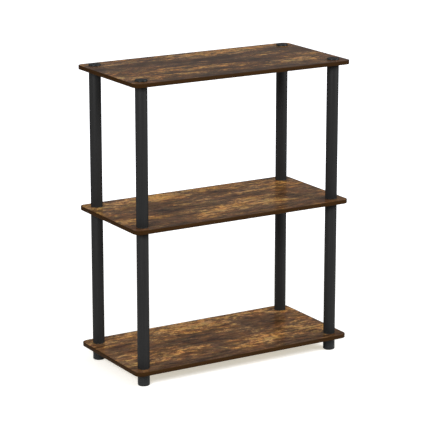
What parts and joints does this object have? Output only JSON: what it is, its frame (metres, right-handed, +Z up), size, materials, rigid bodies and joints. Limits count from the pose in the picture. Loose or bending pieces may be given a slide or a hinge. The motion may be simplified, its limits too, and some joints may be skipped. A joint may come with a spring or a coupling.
{
  "type": "shelving unit",
  "caption": "Free-standing open shelving unit: long wood-look boards with rounded corners, held apart by black screw-together tube posts on short round feet.",
  "frame": {"origin": "on the floor, under the middle of the unit: the centre of the bounding box's underside, in the plane of the feet's soles", "axes": "+X along the boards' length to the right, +Y from the front long side to the rear long side, +Z up along the posts"},
  "size_m": [0.5994, 0.2946, 0.741],
  "materials": {
    "board_laminate": "rustic wood print on a satin laminate over a pressed-fibre core",
    "edging": "plain brown plastic edging, satin",
    "post_tube": "satin black tube",
    "moulded_foot": "black moulded plastic, fine grain",
    "moulded_insert": "black moulded plastic, plain",
    "moulded_cap": "black moulded plastic, satin"
  },
  "bodies": {
    "root": {"bottom_board": "board_laminate", "middle_board": "board_laminate", "top_board": "board_laminate", "bottom_edging": "edging", "middle_edging": "edging", "top_edging": "edging", "foot_front_left": "moulded_foot", "foot_front_right": "moulded_foot", "foot_rear_left": "moulded_foot", "foot_rear_right": "moulded_foot", "lower_tube_front_left": "post_tube", "lower_tube_front_right": "post_tube", "lower_tube_rear_left": "post_tube", "lower_tube_rear_right": "post_tube", "upper_tube_front_left": "post_tube", "upper_tube_front_right": "post_tube", "upper_tube_rear_left": "post_tube", "upper_tube_rear_right": "post_tube", "lower_stud_plug_front_left": "moulded_insert", "lower_stud_plug_front_right": "moulded_insert", "lower_stud_plug_rear_left": "moulded_insert", "lower_stud_plug_rear_right": "moulded_insert", "upper_stud_plug_front_left": "moulded_insert", "upper_stud_plug_front_right": "moulded_insert", "upper_stud_plug_rear_left": "moulded_insert", "upper_stud_plug_rear_right": "moulded_insert", "lower_socket_front_left": "moulded_insert", "lower_socket_front_right": "moulded_insert", "lower_socket_rear_left": "moulded_insert", "lower_socket_rear_right": "moulded_insert", "upper_socket_front_left": "moulded_insert", "upper_socket_front_right": "moulded_insert", "upper_socket_rear_left": "moulded_insert", "upper_socket_rear_right": "moulded_insert", "top_cap_front_left": "moulded_cap", "top_cap_front_right": "moulded_cap", "top_cap_rear_left": "moulded_cap", "top_cap_rear_right": "moulded_cap"}
  },
  "joints": []
}
